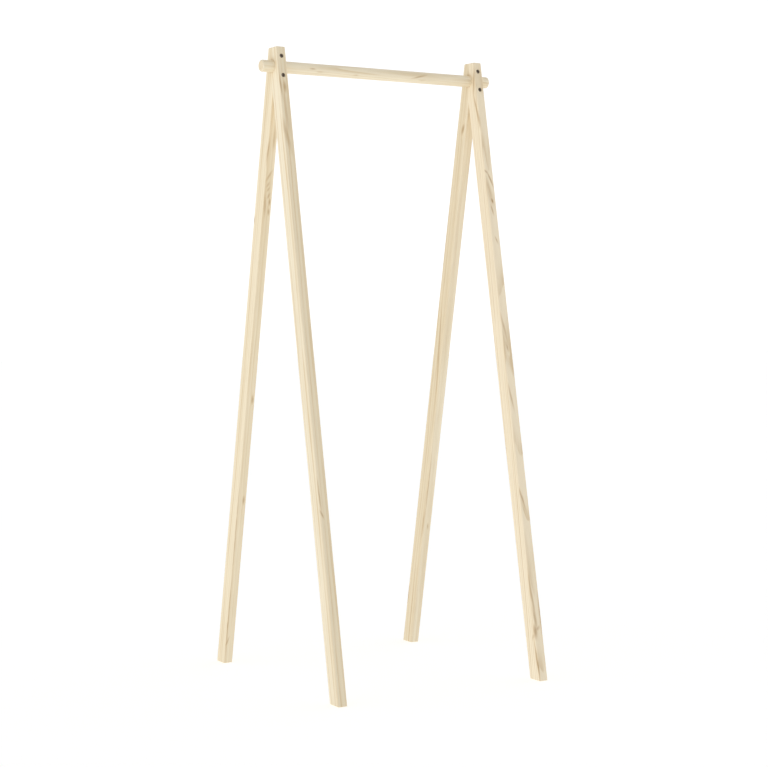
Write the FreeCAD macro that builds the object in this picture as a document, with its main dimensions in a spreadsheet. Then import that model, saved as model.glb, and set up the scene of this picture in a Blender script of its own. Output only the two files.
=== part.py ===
"""Open A-frame clothes rack in pine: two pairs of leaning legs bolted round a hanging rail.

Sizes are in millimetres. X runs along the rail, Y from the front to the rear and Z up.
The origin lies on the floor, midway between the four feet.
"""

import FreeCAD, Part
import os
import Sketcher

# Driving sizes: each is written once, and every sketch, cut and place below follows them.
DIMENSIONS = {
    # The rack as a whole
    "overall_height": 1770,  # floor to the level tops of the legs
    "foot_spread": 740,  # over the feet of one frame, from front to rear
    # Flat bars that the legs are cut from, standing on edge
    "leg_width": 28,  # along the rail
    "leg_depth": 48,  # square to the length of the bar
    "leg_edge_radius": 4,  # planed long edges
    "leg_end_radius": 2,  # eased edges round the top and the foot
    # Round hanging rail
    "rail_length": 750,
    "rail_overhang": 36,  # rail past the outer face of each frame
    "rail_diameter": 33,
    "rail_end_radius": 5,
    "rail_drop": 53,  # tops of the legs down to the rail's axis
    "rail_fit": 0.1,  # gap between the rail and its seat in the legs
    # Socket head bolts, one above and one below the rail in each frame
    "bolt_spacing": 54,
    "bolt_diameter": 6,
    "bolt_clearance": 0.25,  # gap round the shank in the front leg
    "head_diameter": 10,
    "head_height": 6,
    "head_edge_chamfer": 0.6,
    "head_clearance": 1,  # gap round the head in its counterbore
    "head_recess": 1,  # head's face below the face of the leg, at the bolt's axis
    "socket_width": 5,  # across the flats of the hexagon
    "socket_depth": 3,
    # Threaded inserts in the rear legs
    "insert_diameter": 10,
    "insert_length": 13,
    "insert_sink": 0.5,  # mouth of the insert below the meeting face
    "insert_fit": 0.05,  # gap round the insert in the rear leg
    "thread_fit": 0.05,  # gap round the shank in the insert
    "thread_reach": 12.7,  # bolt's tip past the meeting face
    # Cuts run this far past the bar that they cut
    "overrun": 10,
}

# Places that follow from the driving sizes. A leg leans so that the middle of its bar
# reaches the meeting plane, Y = 0, exactly at the top.
LAYOUT = {
    "half_spacing": "(dimensions.rail_length - dimensions.leg_width) / 2 - dimensions.rail_overhang",
    "half_spread": "dimensions.foot_spread / 2",
    "diagonal": "sqrt(half_spread ^ 2 + dimensions.overall_height ^ 2)",
    "lean": "acos(dimensions.leg_depth / 2 / diagonal) - atan(dimensions.overall_height / half_spread)",
    "bar_depth": "dimensions.leg_depth / cos(lean)",  # level depth of a leaning bar
    "rail_height": "dimensions.overall_height - dimensions.rail_drop",
    "upper_bolt_height": "rail_height + dimensions.bolt_spacing / 2",
    "lower_bolt_height": "rail_height - dimensions.bolt_spacing / 2",
    "head_depth": "dimensions.head_height + dimensions.head_recess",
    "upper_bolt_drop": "dimensions.overall_height - upper_bolt_height",
    "lower_bolt_drop": "dimensions.overall_height - lower_bolt_height",
    # Wood between the underside of a bolt's head and the meeting plane
    "upper_bolt_grip": "bar_depth / 2 + upper_bolt_drop * tan(lean) - head_depth",
    "lower_bolt_grip": "bar_depth / 2 + lower_bolt_drop * tan(lean) - head_depth",
    "socket_corner": "dimensions.socket_width / sqrt(3)",  # middle of the hexagon to a corner
}

# Middle of each frame along X, the half turn that faces a leg to the front, and the two bolt levels
FRAME_PLACES = {"left": "-layout.half_spacing", "right": "layout.half_spacing"}
LEG_TURNS = {"front": 180, "rear": 0}
BOLT_LEVELS = ("upper", "lower")

# Numbers that pick a line's two ends, a circle's middle, a sketch's two axes and its origin
START, END, MIDDLE = range(1, 4)
LEVEL_AXIS, UPRIGHT_AXIS = range(-1, -3, -1)
ORIGIN = (LEVEL_AXIS, START)

doc = FreeCAD.newDocument("clothes_rack")


def fill_sheet(name, cells):
    """Make a sheet with a line for each named cell: its name, then its content."""
    sheet = doc.addObject("Spreadsheet::Sheet", name)
    for line, (alias, content) in enumerate(cells.items(), start=1):
        sheet.set(f"A{line}", alias)
        sheet.set(f"B{line}", content)
        sheet.setAlias(f"B{line}", alias)
        sheet.recompute()
    return sheet


def new_body(label):
    """Start a piece under the name that it is known by."""
    body = doc.addObject("PartDesign::Body", label)
    body.Label = label
    return body


def set_place(body, **formulas):
    """Tie a piece's place along the named axes to the sheets."""
    for axis, formula in formulas.items():
        body.setExpression(f"Placement.Base.{axis}", formula)


def new_sketch(body, role, along_y="0"):
    """Start a sketch on one of the body's planes; an XZ sketch can be moved along Y."""
    sketch = body.newObject("Sketcher::SketchObject", f"{body.Label}_sketch")
    plane = next(feature for feature in body.Origin.OriginFeatures if feature.Role == role)
    sketch.AttachmentSupport = [(plane, "")]
    sketch.MapMode = "FlatFace"
    # The XZ plane looks along -Y, so a move along Y is a negative offset.
    if along_y != "0":
        sketch.setExpression("AttachmentOffset.Base.z", f"-({along_y})")
    return sketch


def bind_last(sketch, formula):
    """Tie the sketch's newest constraint to a formula."""
    sketch.setExpression(f"Constraints[{sketch.ConstraintCount - 1}]", formula)


def hold(sketch, geometry, point, place):
    """Hold a point of the sketch at a place given by two formulas."""
    directions = (("DistanceX", UPRIGHT_AXIS), ("DistanceY", LEVEL_AXIS))
    for (kind, axis), formula in zip(directions, place):
        value = sketch.evalExpression(formula)
        if formula == "0":
            sketch.addConstraint(Sketcher.Constraint("PointOnObject", geometry, point, axis))
        elif value > 0:
            sketch.addConstraint(Sketcher.Constraint(kind, *ORIGIN, geometry, point, value))
            bind_last(sketch, formula)
        else:
            sketch.addConstraint(Sketcher.Constraint(kind, geometry, point, *ORIGIN, -value))
            bind_last(sketch, f"-({formula})")


def draw_outline(sketch, corners):
    """Draw a closed outline of straight lines with each corner held at its place."""
    points = [FreeCAD.Vector(*(sketch.evalExpression(formula) for formula in place)) for place in corners]
    for line, point in enumerate(points):
        following = (line + 1) % len(points)
        sketch.addGeometry(Part.LineSegment(point, points[following]))
    for line, place in enumerate(corners):
        following = (line + 1) % len(points)
        sketch.addConstraint(Sketcher.Constraint("Coincident", line, END, following, START))
        hold(sketch, line, START, place)


def draw_circle(sketch, place, diameter):
    """Draw a circle round a place, with its diameter given by a formula."""
    middle = FreeCAD.Vector(*(sketch.evalExpression(formula) for formula in place))
    width = sketch.evalExpression(diameter)
    circle = sketch.addGeometry(Part.Circle(middle, FreeCAD.Vector(0, 0, 1), width / 2))
    hold(sketch, circle, MIDDLE, place)
    sketch.addConstraint(Sketcher.Constraint("Diameter", circle, width))
    bind_last(sketch, diameter)


def add_feature(body, kind, sketch, **settings):
    """Add a feature that works on a sketch."""
    feature = body.newObject(f"PartDesign::{kind}", f"{body.Label}_{kind.lower()}")
    feature.Profile = sketch
    for name, value in settings.items():
        setattr(feature, name, value)
    return feature


def pad_both_ways(body, sketch, length):
    """Pad a sketch evenly to both sides of its plane."""
    pad = add_feature(body, "Pad", sketch, SideType="Symmetric")
    pad.setExpression("Length", length)
    doc.recompute()
    return pad


def pocket(body, sketch, depth=None, both_ways=False):
    """Cut a sketch out of the body, right through or to a depth, and stop if nothing came away."""
    before = body.Shape.Volume
    cut = add_feature(body, "Pocket", sketch, Type="Length" if depth else "ThroughAll")
    if both_ways:
        cut.SideType = "Symmetric"
    if depth:
        cut.setExpression("Length", depth)
    doc.recompute()
    if body.Shape.Volume >= before:
        raise RuntimeError(f"{cut.Label} cuts nothing")


def revolve(body, sketch):
    """Turn a sketch round its level axis."""
    add_feature(body, "Revolution", sketch, ReferenceAxis=(sketch, ["H_Axis"]))
    doc.recompute()


def round_edges(body, base, radius, chosen):
    """Round the chosen edges of a feature over."""
    names = [f"Edge{number}" for number, edge in enumerate(base.Shape.Edges, start=1) if chosen(edge)]
    fillet = body.newObject("PartDesign::Fillet", f"{body.Label}_fillet")
    fillet.Base = (base, names)
    fillet.setExpression("Radius", radius)
    doc.recompute()
    return fillet


def is_level(edge):
    """Tell whether an edge lies in a level plane."""
    return edge.BoundBox.ZLength < edge.Length / 2


def make_leg(side, end):
    """Cut one leg from its bar: leaning outwards along +Y, with its meeting face on Y = 0."""
    body = new_body(f"{side}_{end}_leg")

    # The bar, with its foot and its top sawn level
    profile = new_sketch(body, "YZ_Plane")
    draw_outline(profile, [
        ("layout.half_spread - layout.bar_depth", "0"),
        ("layout.half_spread", "0"),
        ("layout.bar_depth / 2", "dimensions.overall_height"),
        ("-layout.bar_depth / 2", "dimensions.overall_height"),
    ])
    bar = pad_both_ways(body, profile, "dimensions.leg_width")
    rounded = round_edges(body, bar, "dimensions.leg_edge_radius", lambda edge: not is_level(edge))
    round_edges(body, rounded, "dimensions.leg_end_radius", is_level)

    # The bevel that meets the other leg of the frame
    bevel = new_sketch(body, "YZ_Plane")
    draw_outline(bevel, [
        ("0", "0"),
        ("0", "dimensions.overall_height + dimensions.overrun"),
        ("-layout.half_spread", "dimensions.overall_height + dimensions.overrun"),
        ("-layout.half_spread", "0"),
    ])
    pocket(body, bevel, both_ways=True)

    # Half of the rail's seat
    seat = new_sketch(body, "YZ_Plane")
    draw_circle(seat, ("0", "layout.rail_height"), "dimensions.rail_diameter + 2 * dimensions.rail_fit")
    pocket(body, seat, both_ways=True)

    for level in BOLT_LEVELS:
        if end == "front":
            drill_for_bolt(body, level)
        else:
            drill_for_insert(body, level)

    body.Placement.Rotation = FreeCAD.Rotation(FreeCAD.Vector(0, 0, 1), LEG_TURNS[end])
    set_place(body, x=FRAME_PLACES[side])
    return body


def drill_for_bolt(body, level):
    """Drill a front leg for the bolt's shank, and from the outside for its head."""
    place = ("0", f"layout.{level}_bolt_height")
    shank = new_sketch(body, "XZ_Plane")
    draw_circle(shank, place, "dimensions.bolt_diameter + 2 * dimensions.bolt_clearance")
    pocket(body, shank)
    counterbore = new_sketch(body, "XZ_Plane", along_y=f"layout.{level}_bolt_grip")
    draw_circle(counterbore, place, "dimensions.head_diameter + 2 * dimensions.head_clearance")
    pocket(body, counterbore)


def drill_for_insert(body, level):
    """Drill a blind hole for the insert into the meeting face of a rear leg."""
    hole = new_sketch(body, "XZ_Plane")
    draw_circle(
        hole,
        ("0", f"layout.{level}_bolt_height"),
        "dimensions.insert_diameter + 2 * dimensions.insert_fit",
    )
    pocket(body, hole, depth="dimensions.insert_sink + dimensions.insert_length")


def make_rail():
    """Turn the round rail that passes between the legs of both frames, its ends rounded over."""
    body = new_body("hanging_rail")
    section = new_sketch(body, "YZ_Plane")
    draw_circle(section, ("0", "0"), "dimensions.rail_diameter")
    bar = pad_both_ways(body, section, "dimensions.rail_length")
    round_edges(body, bar, "dimensions.rail_end_radius", lambda edge: isinstance(edge.Curve, Part.Circle))
    set_place(body, z="layout.rail_height")
    return body


def make_bolt(side, level):
    """Turn a socket head bolt along +Y, its head's face on Y = 0 of the body."""
    body = new_body(f"{side}_{level}_bolt")
    head_radius = "dimensions.head_diameter / 2"
    shank_radius = "dimensions.bolt_diameter / 2"
    tip = f"dimensions.head_height + layout.{level}_bolt_grip + dimensions.thread_reach"
    profile = new_sketch(body, "YZ_Plane")
    draw_outline(profile, [
        ("0", "0"),
        ("0", f"{head_radius} - dimensions.head_edge_chamfer"),
        ("dimensions.head_edge_chamfer", head_radius),
        ("dimensions.head_height", head_radius),
        ("dimensions.head_height", shank_radius),
        (tip, shank_radius),
        (tip, "0"),
    ])
    revolve(body, profile)

    # Hexagon socket for the key, two of its flats level
    socket = new_sketch(body, "XZ_Plane")
    draw_outline(socket, [
        ("layout.socket_corner", "0"),
        ("layout.socket_corner / 2", "dimensions.socket_width / 2"),
        ("-layout.socket_corner / 2", "dimensions.socket_width / 2"),
        ("-layout.socket_corner", "0"),
        ("-layout.socket_corner / 2", "-dimensions.socket_width / 2"),
        ("layout.socket_corner / 2", "-dimensions.socket_width / 2"),
    ])
    pocket(body, socket, depth="dimensions.socket_depth")

    set_place(
        body,
        x=FRAME_PLACES[side],
        y=f"-(layout.{level}_bolt_grip + dimensions.head_height)",
        z=f"layout.{level}_bolt_height",
    )
    return body


def make_insert(side, level):
    """Turn a threaded insert along +Y, its mouth on Y = 0 of the body."""
    body = new_body(f"{side}_{level}_insert")
    outer_radius = "dimensions.insert_diameter / 2"
    bore_radius = "dimensions.bolt_diameter / 2 + dimensions.thread_fit"
    profile = new_sketch(body, "YZ_Plane")
    draw_outline(profile, [
        ("0", bore_radius),
        ("0", outer_radius),
        ("dimensions.insert_length", outer_radius),
        ("dimensions.insert_length", bore_radius),
    ])
    revolve(body, profile)
    set_place(
        body,
        x=FRAME_PLACES[side],
        y="dimensions.insert_sink",
        z=f"layout.{level}_bolt_height",
    )
    return body


def check_pieces(bodies):
    """Stop unless every object is sound and every piece is one valid solid."""
    for item in doc.Objects:
        if {"Invalid", "Error"} & set(item.State):
            raise RuntimeError(f"{item.Label} failed")
    for body in bodies:
        if body.Shape.isNull() or not body.Shape.isValid() or len(body.Shape.Solids) != 1:
            raise RuntimeError(f"{body.Label} isn't one valid solid")


fill_sheet("dimensions", {alias: str(size) for alias, size in DIMENSIONS.items()})
fill_sheet("layout", {alias: f"={formula}" for alias, formula in LAYOUT.items()})
doc.recompute()

pieces = [make_rail()]
for side in FRAME_PLACES:
    pieces += [make_leg(side, end) for end in LEG_TURNS]
    pieces += [make_bolt(side, level) for level in BOLT_LEVELS]
    pieces += [make_insert(side, level) for level in BOLT_LEVELS]

doc.recompute()
check_pieces(pieces)
os.makedirs("parts", exist_ok=True)
for piece in pieces:
    piece.Shape.exportStep(f"parts/{piece.Label}.step")
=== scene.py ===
"""Looks of an open A-frame clothes rack in pine, built round its packed construction.

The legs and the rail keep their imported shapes, and each is dressed as a board of planed pine of its own.
Geometry Nodes model the socket head bolts and the threaded inserts, which stand for their plain solids.
Every piece is in metres in the frame of the construction. The classes give their sizes in millimetres, but
for the places and sizes of the studio, which are in metres.
"""

import logging
import math
from dataclasses import dataclass, replace
from enum import Enum
from typing import Any

import bpy
from bpy.types import Material, Node, NodeSocket, NodeTree, Object
from mathutils import Euler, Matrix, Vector


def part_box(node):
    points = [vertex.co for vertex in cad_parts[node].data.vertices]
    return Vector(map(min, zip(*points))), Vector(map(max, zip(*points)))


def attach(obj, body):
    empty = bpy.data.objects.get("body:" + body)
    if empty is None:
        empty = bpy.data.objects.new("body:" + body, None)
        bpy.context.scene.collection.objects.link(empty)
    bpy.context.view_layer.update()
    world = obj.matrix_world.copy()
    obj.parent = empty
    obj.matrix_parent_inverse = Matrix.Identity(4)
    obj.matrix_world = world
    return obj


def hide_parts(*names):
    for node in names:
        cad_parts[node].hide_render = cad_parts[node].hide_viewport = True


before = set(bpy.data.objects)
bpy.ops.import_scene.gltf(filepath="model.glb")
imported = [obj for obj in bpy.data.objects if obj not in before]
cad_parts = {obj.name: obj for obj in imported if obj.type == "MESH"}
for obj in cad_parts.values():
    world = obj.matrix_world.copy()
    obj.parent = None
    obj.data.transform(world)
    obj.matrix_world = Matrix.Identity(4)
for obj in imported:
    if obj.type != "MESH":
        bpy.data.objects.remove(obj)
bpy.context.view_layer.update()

LOG = logging.getLogger("clothes_rack")
MM = 0.001
BODY = "root"
WHITE = (1.0, 1.0, 1.0, 1.0)

# Places of the colour sockets on a Mix node, whose float and colour sockets share their names
MIX_A = 6
MIX_B = 7
MIX_RESULT = 2

# What a noise texture gives on average in each channel
NOISE_MIDDLE = (0.5, 0.5, 0.5)

# Multiplied with a place, it leaves out the height
LEVEL_PART = (1.0, 1.0, 0.0)

# Named values of a Map Range node
Ramp = dict[str, float]

# Named values of a Geometry Nodes tree
Sizes = dict[str, float | int | Vector]


class Side(Enum):
    """The two frames of the rack."""

    LEFT = "left"
    RIGHT = "right"


class End(Enum):
    """The two legs of a frame, with the way that each leans: +1 where its top lies further to +Y."""

    FRONT = 1
    REAR = -1


class Level(Enum):
    """The two bolts of a frame, above and below the rail."""

    UPPER = "upper"
    LOWER = "lower"


class Face(Enum):
    """The long faces of a bar, by the way that each looks in its section: across, then deep."""

    LEFT = (-1, 0)
    RIGHT = (1, 0)
    NEAR = (0, -1)
    FAR = (0, 1)


class Slot(Enum):
    """The construction's slots for the finishes of the bolts and inserts."""

    BLACK_STEEL = "black_steel"
    PLATED_STEEL = "plated_steel"


def linear(colour: str) -> tuple[float, float, float, float]:
    """Turns an sRGB hex colour into linear light.

    Args:
        colour: The colour as "#RRGGBB".

    Returns:
        Red, green and blue from 0 to 1, and an alpha of 1.
    """
    shares = (int(colour[place:place + 2], 16) / 255 for place in (1, 3, 5))
    red, green, blue = (s / 12.92 if s <= 0.04045 else ((s + 0.055) / 1.055) ** 2.4 for s in shares)
    return red, green, blue, 1.0


def add_node(tree: NodeTree, kind: str, inputs: dict[str | int, Any], **settings: Any) -> Node:
    """Adds a node with its settings and links.

    Args:
        tree: The tree that gets the node.
        kind: The node's type.
        inputs: What each input takes, by the socket's name or place. A node stands for its first output
            and a socket for itself, and both are linked; anything else is the input's own value.
        **settings: The node's own properties.

    Returns:
        The new node.
    """
    node = tree.nodes.new(kind)
    for name, value in settings.items():
        setattr(node, name, value)
    for key, value in inputs.items():
        if isinstance(value, Node):
            value = value.outputs[0]
        if isinstance(value, NodeSocket):
            tree.links.new(value, node.inputs[key])
        else:
            node.inputs[key].default_value = value
    return node


def new_material(name: str) -> Material:
    """Makes a material whose node tree is empty.

    Args:
        name: The material's name.

    Returns:
        The material.
    """
    material = bpy.data.materials.new(name)
    material.use_nodes = True
    material.node_tree.nodes.clear()
    return material


@dataclass(frozen=True)
class BarPlace:
    """Where a bar lies: the middle of its foot, and the turn that stands its length along Z."""

    foot: Vector
    turn: Euler

    def mapping(self) -> dict[str, Any]:
        """Works out the Mapping inputs that give millimetres from the foot, with Z along the bar.

        Returns:
            The location, rotation and scale.
        """
        moved = self.turn.to_matrix() @ self.foot
        return {"Location": -moved / MM, "Rotation": self.turn, "Scale": (1 / MM, 1 / MM, 1 / MM)}


@dataclass(frozen=True)
class GrainMark:
    """A mark on one face of a bar, in millimetres and degrees: a knot, a resin streak, or a patch of painted
    shade.
    """

    face: Face
    sideways: float  # from the middle line of the face, towards +X or +Y
    along: float  # from the foot
    half_width: float
    half_length: float
    slant: float = 0.0  # out of the bar's own direction, with the lower end further sideways
    stain_and_shade: float = 0.5  # strength of the brown at its heart, from 0 to 1
    bow: float = 0.0  # how far the growth lines bow round it

    def heart(self, half_section: tuple[float, float]) -> Vector:
        """Gives its middle in millimetres from the middle of the bar's foot."""
        across, deep = self.face.value
        if across:
            return Vector((across * half_section[0], self.sideways, self.along))
        return Vector((self.sideways, deep * half_section[1], self.along))

    def lean(self) -> tuple[float, float, float]:
        """Gives the turn that lays it along its slant, on its own face."""
        angle = math.radians(self.slant)
        return (angle, 0.0, 0.0) if self.face.value[0] else (0.0, -angle, 0.0)


@dataclass(frozen=True)
class Patches:
    """Noise in patches that lie along the grain."""

    width: float
    length: float
    layers: float = 1.0  # how many finer layers lie on it


class BarNodes:
    """The nodes of a bar's material, with the place on the bar in millimetres from which they work."""

    def __init__(self, name: str, bar: BarPlace, seed: float) -> None:
        """Starts the material with the nodes that give the place.

        Args:
            name: The material's name.
            bar: Where the bar lies.
            seed: The number that sets its noise apart from that of the other bars.
        """
        self.material = new_material(name)
        self.seed = seed
        coordinates = self.add("ShaderNodeTexCoord", {}).outputs["Object"]
        self.place = self.add("ShaderNodeMapping", {"Vector": coordinates, **bar.mapping()})

    def add(self, kind: str, inputs: dict[str | int, Any], **settings: Any) -> Node:
        """Adds a node to the material, as add_node does."""
        return add_node(self.material.node_tree, kind, inputs, **settings)

    def stretched_noise(self, patches: Patches) -> Node:
        """Adds noise in patches that lie along the grain.

        Args:
            patches: The sizes of the patches.

        Returns:
            The noise node.
        """
        shares = (1 / patches.width, 1 / patches.width, 1 / patches.length)
        scaled = self.add("ShaderNodeVectorMath", {0: self.place, 1: shares}, operation="MULTIPLY")
        inputs = {"Vector": scaled, "W": self.seed + patches.width, "Scale": 1.0, "Detail": patches.layers}
        return self.add("ShaderNodeTexNoise", inputs, noise_dimensions="4D")

    def shifted(self, patches: Patches, shift: float) -> Node:
        """Shifts the place across the grain by noise, so that lines wander and marks get ragged sides.

        Args:
            patches: The sizes of the noise's patches.
            shift: How far it shifts the place.

        Returns:
            The node that gives the shifted place.
        """
        noise = self.stretched_noise(patches).outputs["Color"]
        centred = self.add("ShaderNodeVectorMath", {0: noise, 1: NOISE_MIDDLE}, operation="SUBTRACT")
        moved = {0: centred, 1: (shift, shift, 0.0), 2: self.place}
        return self.add("ShaderNodeVectorMath", moved, operation="MULTIPLY_ADD")


@dataclass(frozen=True)
class PlanedPine:
    """Planed and sanded pine with a thin matt lacquer.

    It gives the eye a pale cream ground, soft tan growth lines that run along the bar and bow round small
    knots, fine fibre, and a dull even sheen. The section of each board lies its own way round the pith, so
    one face shows close lines and the next one wide arches.
    """

    FIBRE = Patches(1.3, 55.0, 3.0)
    FIBRE_VALUE = {"From Min": 0.25, "From Max": 0.75, "To Min": 0.94, "To Max": 1.04}
    FIBRE_ROUGHNESS = {"From Min": 0.3, "From Max": 0.7, "To Min": 0.62, "To Max": 0.5}
    FIBRE_HEIGHT = 0.15
    LATE_HEIGHT_SHARE = -0.5  # height of the late wood, as a share of the fibre's
    BUMP = 0.35
    LACQUER_IOR = 1.5
    LACQUER_GLOSS = 0.35
    WANDER = Patches(45.0, 420.0)  # along which the growth lines drift
    RAGGED = Patches(7.0, 28.0)  # along which the sides of a mark go in and out
    RAGGED_SHIFT = 3.0
    BOW_REACH = 3.0  # in half sizes of the mark
    STAIN_REACH = 1.8  # in half sizes of the mark
    STAIN_POWER = 1.5  # keeps the brown nearer to the heart of a mark than its halo
    RING_JITTER = 1.2  # how far the rings leave an even spacing, in rings
    JITTER_SCALE = 0.7  # patches of that noise in one ring
    RING_END = 0.94  # share of a ring at which its dark line is darkest
    FAINTEST_LINE = 0.3
    FADING = Patches(14.0, 220.0, 2.0)
    FADING_RAMP = {"From Min": 0.35, "From Max": 0.65, "To Min": 0.15}
    HONEY = Patches(24.0, 500.0, 2.0)
    HONEY_RAMP = {"From Min": 0.4, "From Max": 0.65}
    HEART_EDGE = 7.0  # half the width over which the heartwood fades out
    END_RAMP = {"From Min": 0.75, "From Max": 0.95, "To Max": 0.3}  # by how far a face looks along the bar

    name: str
    pith: tuple[float, float]  # from the middle of the section to the heart of the tree
    run_out: tuple[float, float]  # degrees by which the grain leaves the bar's own direction
    seed: float
    marks: tuple[GrainMark, ...] = ()
    half_section: tuple[float, float] = (14.0, 24.0)
    ring_spacing: float = 8.0  # growth lines, drawn coarse enough to show from a few steps away
    late_share: float = 0.7  # share of a ring over which it darkens
    drift: float = 10.0  # how far the growth lines wander along the bar
    honey: float = 0.3  # strength of the honey tone in its long patches
    heartwood: float = 0.0  # radius of the darker heart of the tree, where the board reaches into it
    heart_tone: float = 0.0  # strength of the honey tone in the heartwood
    early_colour: str = "#F8ECD1"
    late_colour: str = "#DEC69C"
    honey_colour: str = "#DECAA4"
    # The halo and stain colours also paint the shade round the rail and on the broad shaded patches of the
    # legs.
    halo_colour: str = "#CFAA6C"
    stain_colour: str = "#845A28"
    end_colour: str = "#D9C096"

    def material(self, bar: BarPlace) -> Material:
        """Builds the board's material.

        Args:
            bar: Where the bar lies.

        Returns:
            The material.
        """
        nodes = BarNodes(self.name, bar, self.seed)
        bowed, stain_and_shade = self.bow_round_marks(nodes)
        radius = self.radius(nodes, bowed)
        late = self.growth_lines(nodes, radius)
        fibre = nodes.stretched_noise(self.FIBRE)
        colour = self.ground(nodes, late, fibre, self.honey_tone(nodes, radius))
        colour = self.stained_and_shaded(nodes, colour, stain_and_shade)
        colour = self.end_grain(nodes, bar, colour)
        heights = {0: late, 1: self.LATE_HEIGHT_SHARE, 2: fibre}
        relief = nodes.add("ShaderNodeMath", heights, operation="MULTIPLY_ADD")
        raised = {"Strength": self.BUMP, "Distance": self.FIBRE_HEIGHT * MM, "Height": relief}
        shader = nodes.add(
            "ShaderNodeBsdfPrincipled",
            {
                "Base Color": colour,
                "Roughness": nodes.add("ShaderNodeMapRange", {0: fibre, **self.FIBRE_ROUGHNESS}),
                "Normal": nodes.add("ShaderNodeBump", raised),
                "IOR": self.LACQUER_IOR,
                "Specular IOR Level": self.LACQUER_GLOSS,
            },
        )
        nodes.add("ShaderNodeOutputMaterial", {"Surface": shader})
        return nodes.material

    def bow_round_marks(self, nodes: BarNodes) -> tuple[Node, Node | float]:
        """Bows the growth lines round the knots and streaks, and darkens the heart of each mark: brown at
        knots and streaks, painted shade at the marks that stand for shade.

        Args:
            nodes: The board's nodes.

        Returns:
            The node that gives the bowed place, and what gives the brown of the knots and the painted shade,
            from 0 to 1.
        """
        bowed = nodes.shifted(self.WANDER, self.drift)
        ragged = nodes.shifted(self.RAGGED, self.RAGGED_SHIFT)
        stain_and_shade: Node | float = 0.0
        for mark in self.marks:
            heart = mark.heart(self.half_section)
            local = nodes.add(
                "ShaderNodeMapping",
                {
                    "Vector": ragged,
                    "Location": heart,
                    "Rotation": mark.lean(),
                    "Scale": (mark.half_width, mark.half_width, mark.half_length),
                },
                vector_type="TEXTURE",
            )
            distance = nodes.add("ShaderNodeVectorMath", {0: local}, operation="LENGTH").outputs["Value"]
            if mark.bow:
                swell = nodes.add(
                    "ShaderNodeMapRange",
                    {0: distance, "From Max": self.BOW_REACH, "To Min": mark.bow, "To Max": 0.0},
                    interpolation_type="SMOOTHSTEP",
                )
                outwards = Vector((heart.x - self.pith[0], heart.y - self.pith[1], 0.0)).normalized()
                push = nodes.add("ShaderNodeVectorMath", {0: outwards, "Scale": swell}, operation="SCALE")
                bowed = nodes.add("ShaderNodeVectorMath", {0: bowed, 1: push}, operation="ADD")
            spot = nodes.add(
                "ShaderNodeMapRange",
                {0: distance, "From Max": self.STAIN_REACH, "To Min": mark.stain_and_shade, "To Max": 0.0},
                interpolation_type="SMOOTHSTEP",
            )
            stain_and_shade = nodes.add("ShaderNodeMath", {0: stain_and_shade, 1: spot}, operation="MAXIMUM")
        return bowed, stain_and_shade

    def radius(self, nodes: BarNodes, bowed: Node) -> NodeSocket:
        """Measures how far each point lies from the pith, which runs out of the bar's own direction.

        Args:
            nodes: The board's nodes.
            bowed: The node that gives the place by which the lines are drawn.

        Returns:
            The socket that gives the radius in millimetres.
        """
        turn = (math.radians(self.run_out[0]), math.radians(self.run_out[1]), 0.0)
        turned = nodes.add(
            "ShaderNodeMapping",
            {"Vector": bowed, "Location": (-self.pith[0], -self.pith[1], 0.0), "Rotation": turn},
        )
        flat = nodes.add("ShaderNodeVectorMath", {0: turned, 1: LEVEL_PART}, operation="MULTIPLY")
        return nodes.add("ShaderNodeVectorMath", {0: flat}, operation="LENGTH").outputs["Value"]

    def growth_lines(self, nodes: BarNodes, radius: NodeSocket) -> Node:
        """Draws the growth lines: each darkens slowly outwards, ends sharply and has its own strength.

        Args:
            nodes: The board's nodes.
            radius: The socket that gives the radius from the pith.

        Returns:
            The node that gives the late wood from 0 to 1.
        """
        evenly = nodes.add("ShaderNodeMath", {0: radius, 1: self.ring_spacing}, operation="DIVIDE")
        uneven = {"W": evenly, "Scale": self.JITTER_SCALE, "Detail": 0.0}
        jitter = nodes.add("ShaderNodeTexNoise", uneven, noise_dimensions="1D")
        jittered = {0: jitter, 1: self.RING_JITTER, 2: evenly}
        count = nodes.add("ShaderNodeMath", jittered, operation="MULTIPLY_ADD")
        ring = nodes.add("ShaderNodeMath", {0: count}, operation="FRACT")
        rise = nodes.add(
            "ShaderNodeMapRange",
            {0: ring, "From Min": self.RING_END - self.late_share, "From Max": self.RING_END},
            interpolation_type="SMOOTHSTEP",
        )
        fall = nodes.add(
            "ShaderNodeMapRange",
            {0: ring, "From Min": self.RING_END, "To Min": 1.0, "To Max": 0.0},
            interpolation_type="SMOOTHSTEP",
        )
        line = nodes.add("ShaderNodeMath", {0: rise, 1: fall}, operation="MULTIPLY")
        index = nodes.add("ShaderNodeMath", {0: count}, operation="FLOOR")
        seeded = nodes.add("ShaderNodeMath", {0: index, 1: self.seed}, operation="ADD")
        chance = nodes.add("ShaderNodeTexWhiteNoise", {"W": seeded}, noise_dimensions="1D")
        own = nodes.add("ShaderNodeMapRange", {0: chance, "To Min": self.FAINTEST_LINE})
        fade = nodes.stretched_noise(self.FADING)
        fading = nodes.add("ShaderNodeMapRange", {0: fade, **self.FADING_RAMP})
        strength = nodes.add("ShaderNodeMath", {0: own, 1: fading}, operation="MULTIPLY")
        return nodes.add("ShaderNodeMath", {0: line, 1: strength}, operation="MULTIPLY")

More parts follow.
